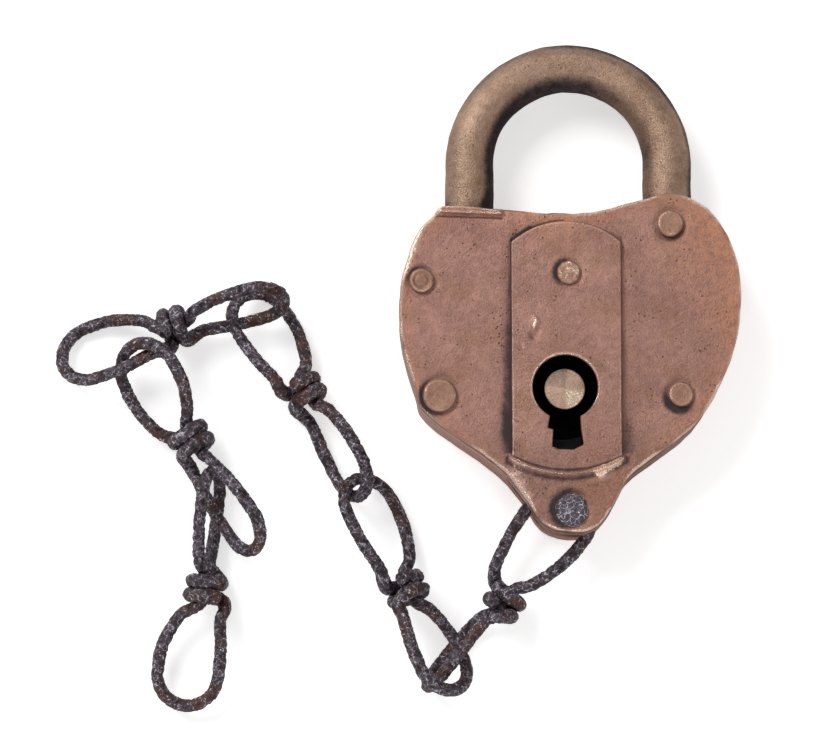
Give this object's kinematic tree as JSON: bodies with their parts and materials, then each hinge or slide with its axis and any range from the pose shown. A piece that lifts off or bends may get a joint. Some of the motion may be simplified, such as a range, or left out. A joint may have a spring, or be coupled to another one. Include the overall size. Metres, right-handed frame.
{
  "type": "heart-shaped lever padlock with chain",
  "caption": "Weathered heart-shaped bronze lever padlock lying on its back, with a swinging shackle, a barrel keyhole and a rusted chain of knotted wire links.",
  "frame": {"origin": "on the key post's axis, at the case's flat back face", "axes": "+Z out of the front cover, +Y towards the shackle, +X to the right as seen from the front"},
  "size_m": [0.1157, 0.1133, 0.0165],
  "materials": {
    "case_bronze": "matte cast bronze, fine pitted, dark patina in the corners",
    "shackle_bronze": "darkened bronze rod, worn golden on top",
    "rivet_bronze": "peened bronze, worn bright at the rims",
    "post_brass": "turned pale brass, tarnished",
    "rusted_iron": "deeply corroded iron wire, dark brown-grey scale",
    "lock_brass": "rolled brass",
    "lock_steel": "dark oiled steel"
  },
  "bodies": {
    "case": {"rear_case": "case_bronze", "front_cover": "case_bronze", "shackle_pivot_rivet": "rivet_bronze", "case_rivet_upper_left": "rivet_bronze", "case_rivet_lower_left": "rivet_bronze", "case_rivet_lower_right": "rivet_bronze", "cover_pivot_stub": "rivet_bronze", "chain_rivet": "rusted_iron", "key_post": "post_brass", "bolt_guide_pin": "lock_steel", "lever_pivot_post": "lock_steel", "ward_plate": "lock_steel"},
    "shackle": {"shackle": "shackle_bronze"},
    "bolt": {"bolt": "lock_brass"},
    "lever_1": {"lever_1": "lock_brass", "lever_spring_1": "lock_steel"},
    "lever_2": {"lever_2": "lock_brass", "lever_spring_2": "lock_steel"},
    "lever_3": {"lever_3": "lock_brass", "lever_spring_3": "lock_steel"},
    "lever_4": {"lever_4": "lock_brass", "lever_spring_4": "lock_steel"},
    "link_1": {"chain_link_1": "rusted_iron"},
    "link_2": {"chain_link_2": "rusted_iron"},
    "link_3": {"chain_link_3": "rusted_iron"},
    "link_4": {"chain_link_4": "rusted_iron"},
    "link_5": {"chain_link_5": "rusted_iron"},
    "link_6": {"chain_link_6": "rusted_iron"}
  },
  "joints": [
    {"name": "shackle_swing", "type": "hinge", "parent": "case", "child": "shackle", "pos_m": [0.01779, 0.02783, 0.00727], "axis": [0, 0, 1], "range_deg": [-70, 0]},
    {"name": "bolt_throw", "type": "slide", "parent": "case", "child": "bolt", "axis": [-1, 0, 0], "range_m": [0, 0.004]},
    {"name": "lever_1_lift", "type": "hinge", "parent": "case", "child": "lever_1", "pos_m": [0.0205, 0.0115, 0.0083], "axis": [0, 0, 1], "range_deg": [-1.6, 0], "deforming": ["lever_spring_1"]},
    {"name": "lever_2_lift", "type": "hinge", "parent": "case", "child": "lever_2", "pos_m": [0.0205, 0.0115, 0.00925], "axis": [0, 0, 1], "range_deg": [-2, 0], "deforming": ["lever_spring_2"]},
    {"name": "lever_3_lift", "type": "hinge", "parent": "case", "child": "lever_3", "pos_m": [0.0205, 0.0115, 0.0102], "axis": [0, 0, 1], "range_deg": [-1.8, 0], "deforming": ["lever_spring_3"]},
    {"name": "lever_4_lift", "type": "hinge", "parent": "case", "child": "lever_4", "pos_m": [0.0205, 0.0115, 0.01115], "axis": [0, 0, 1], "range_deg": [-2.2, 0], "deforming": ["lever_spring_4"]},
    {"name": "link_1_swing", "type": "hinge", "parent": "case", "child": "link_1", "pos_m": [0.001, -0.02042, 0.00727], "axis": [0, 0, 1], "range_deg": [0, 12]},
    {"name": "link_2_swing", "type": "hinge", "parent": "link_1", "child": "link_2", "pos_m": [-0.02079, -0.04964, 0.00781], "axis": [0, 0, 1], "range_deg": [-7, 10]},
    {"name": "link_3_swing", "type": "hinge", "parent": "link_2", "child": "link_3", "pos_m": [-0.03436, -0.0156, 0.00607], "axis": [0, 0, 1], "range_deg": [-8, 10]},
    {"name": "link_4_swing", "type": "hinge", "parent": "link_3", "child": "link_4", "pos_m": [-0.05072, 0.01682, 0.00613], "axis": [0, 0, 1], "range_deg": [-9, 6]},
    {"name": "link_5_swing", "type": "hinge", "parent": "link_4", "child": "link_5", "pos_m": [-0.07887, 0.00695, 0.00536], "axis": [0, 0, 1], "range_deg": [-2, 8]},
    {"name": "link_6_swing", "type": "hinge", "parent": "link_5", "child": "link_6", "pos_m": [-0.05518, -0.01953, 0.00768], "axis": [0, 0, 1], "range_deg": [-3, 8]}
  ],
  "couplings": [
    {"joint": "lever_1_lift", "follows": "bolt_throw", "rad_per_m": -6.9806},
    {"joint": "lever_2_lift", "follows": "bolt_throw", "rad_per_m": -8.7258},
    {"joint": "lever_3_lift", "follows": "bolt_throw", "rad_per_m": -7.8532},
    {"joint": "lever_4_lift", "follows": "bolt_throw", "rad_per_m": -9.5984}
  ]
}
